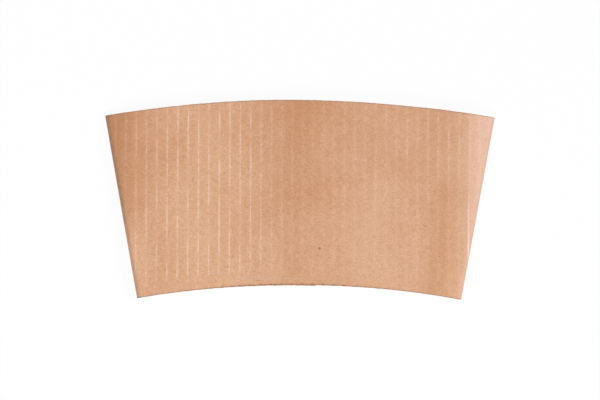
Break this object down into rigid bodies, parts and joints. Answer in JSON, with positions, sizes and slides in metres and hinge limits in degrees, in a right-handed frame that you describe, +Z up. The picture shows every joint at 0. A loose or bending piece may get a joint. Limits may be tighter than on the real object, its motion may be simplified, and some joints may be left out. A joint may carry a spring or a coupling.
{
  "type": "coffee cup sleeve",
  "caption": "Corrugated kraft sleeve for a paper coffee cup, folded flat: smooth liner outside, open flutes inside, tapered to slide up a cup.",
  "frame": {"origin": "middle of the underside's box, on the surface that the flat sleeve lies on", "axes": "+X to the right along the folded width, +Y towards the wide rim, +Z up out of the front panel"},
  "size_m": [0.1306, 0.0672, 0.0044],
  "materials": {
    "kraft_board": "uncoated brown kraft, matt"
  },
  "bodies": {
    "root": {"sleeve": "kraft_board"}
  },
  "joints": []
}
